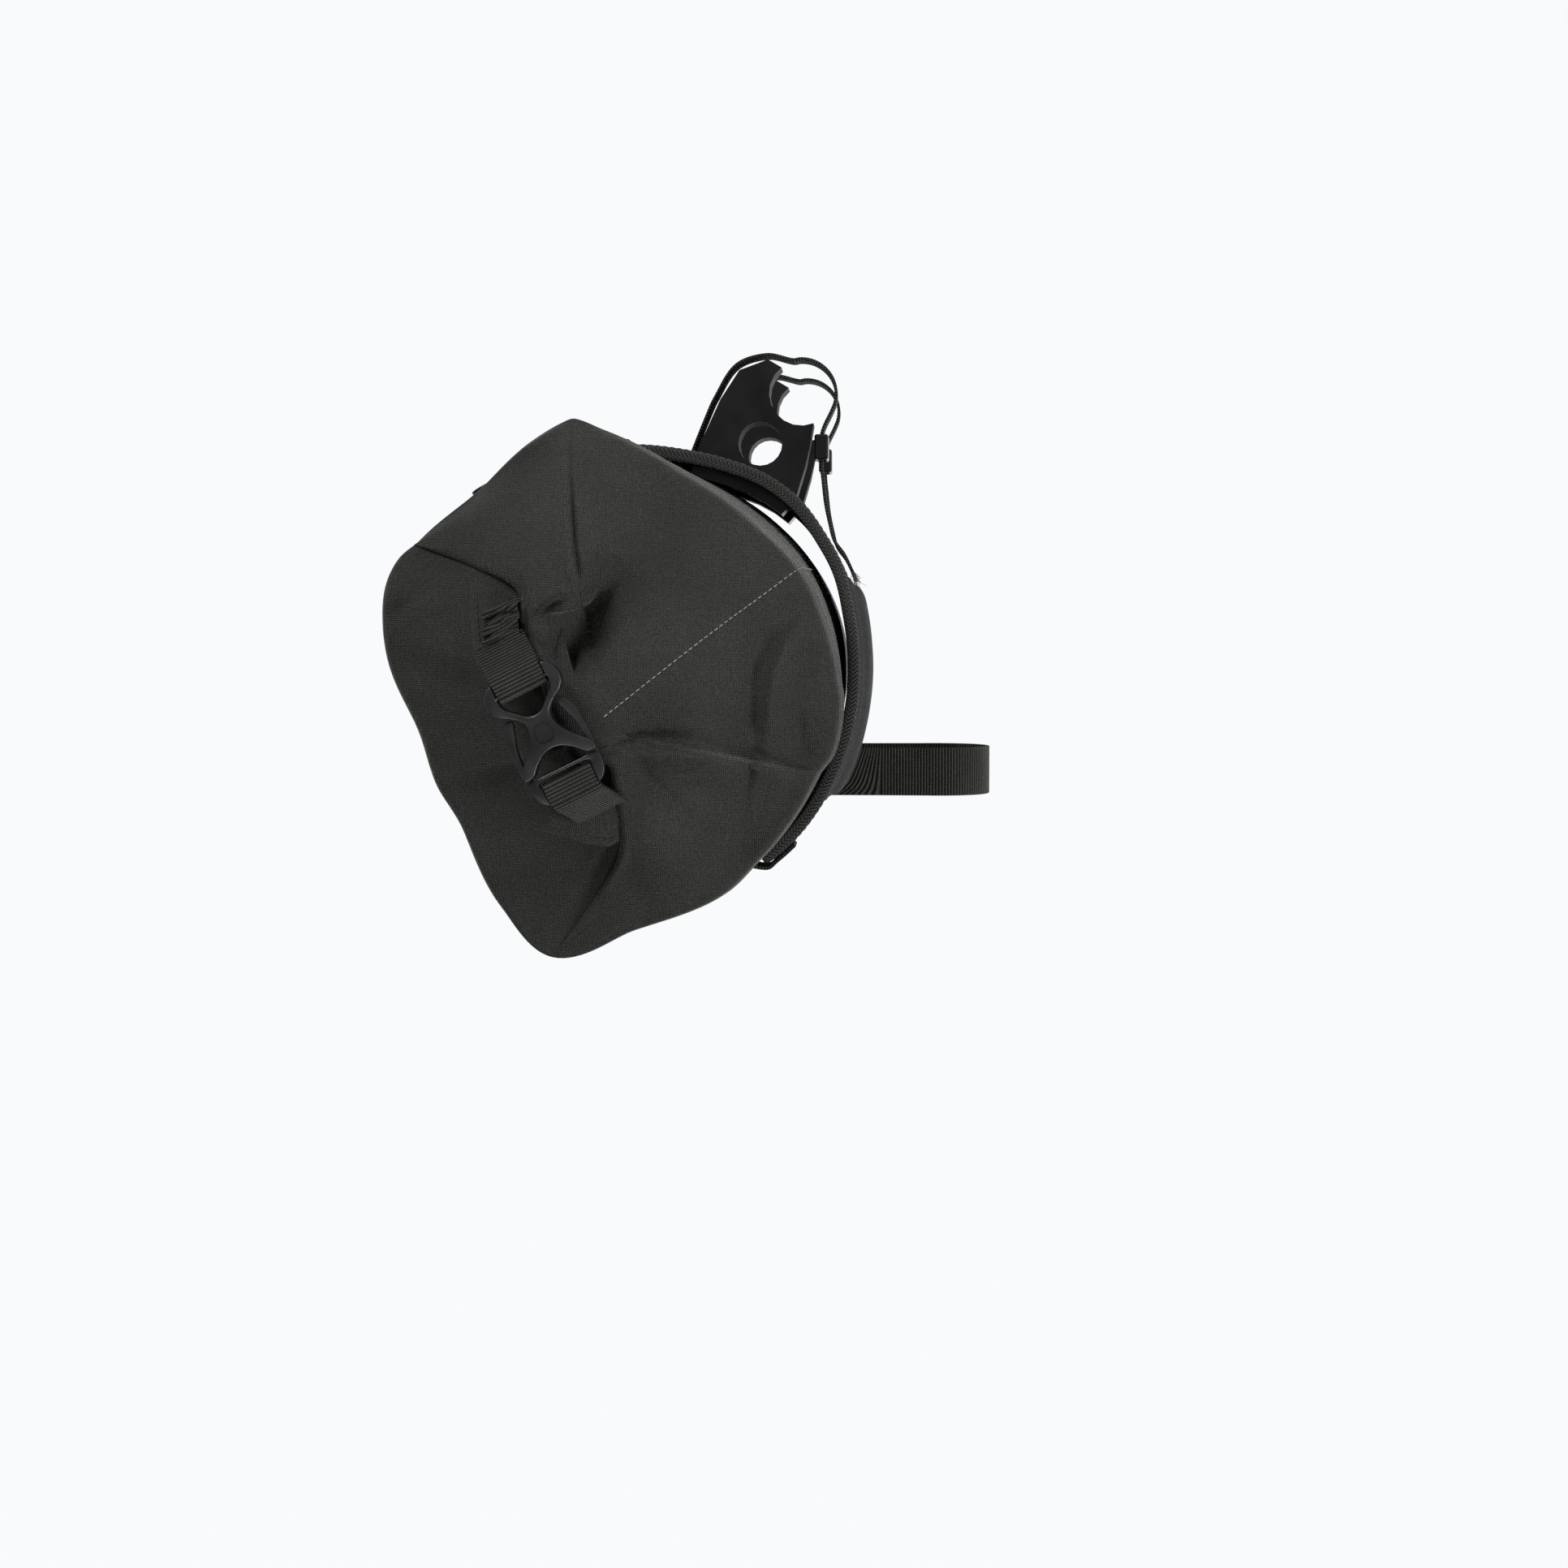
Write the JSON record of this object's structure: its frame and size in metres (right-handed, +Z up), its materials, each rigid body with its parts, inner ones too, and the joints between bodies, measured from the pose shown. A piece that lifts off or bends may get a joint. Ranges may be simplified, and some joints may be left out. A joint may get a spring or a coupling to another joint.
{
  "type": "bicycle handlebar bag",
  "caption": "Roll-top cylindrical handlebar bag of coated fabric in a strap-on harness, its rolled end folded over and buckled.",
  "frame": {"origin": "centre of the handlebar's clamp area, midway between the spacers", "axes": "+Y along the handlebar toward the rider's right, +Z up, -X the way the bicycle goes"},
  "size_m": [0.287, 0.4792, 0.2881],
  "materials": {
    "coated_fabric": "matt coated woven",
    "webbing": "ribbed webbing",
    "black_plastic": "satin moulded",
    "binding_tape": "twill tape",
    "harness_fabric": "plain woven"
  },
  "bodies": {
    "root": {"back_pad": "harness_fabric", "bag_shell": "coated_fabric", "buckle_plug": "black_plastic", "buckle_socket": "black_plastic", "closure_strip_lower": "coated_fabric", "closure_strip_upper": "coated_fabric", "compression_left_plug": "black_plastic", "compression_left_socket": "black_plastic", "compression_left_webbing": "webbing", "compression_right_plug": "black_plastic", "compression_right_socket": "black_plastic", "compression_right_webbing": "webbing", "handlebar_spacer_left": "black_plastic", "handlebar_spacer_left_back_plate": "black_plastic", "handlebar_spacer_right": "black_plastic", "handlebar_spacer_right_back_plate": "black_plastic", "handlebar_strap_left": "webbing", "handlebar_strap_left_lock": "black_plastic", "handlebar_strap_right": "webbing", "handlebar_strap_right_lock": "black_plastic", "harness_binding": "binding_tape", "harness_panel": "harness_fabric", "head_tube_strap": "webbing", "webbing_lower": "webbing", "webbing_upper": "webbing"}
  },
  "joints": []
}
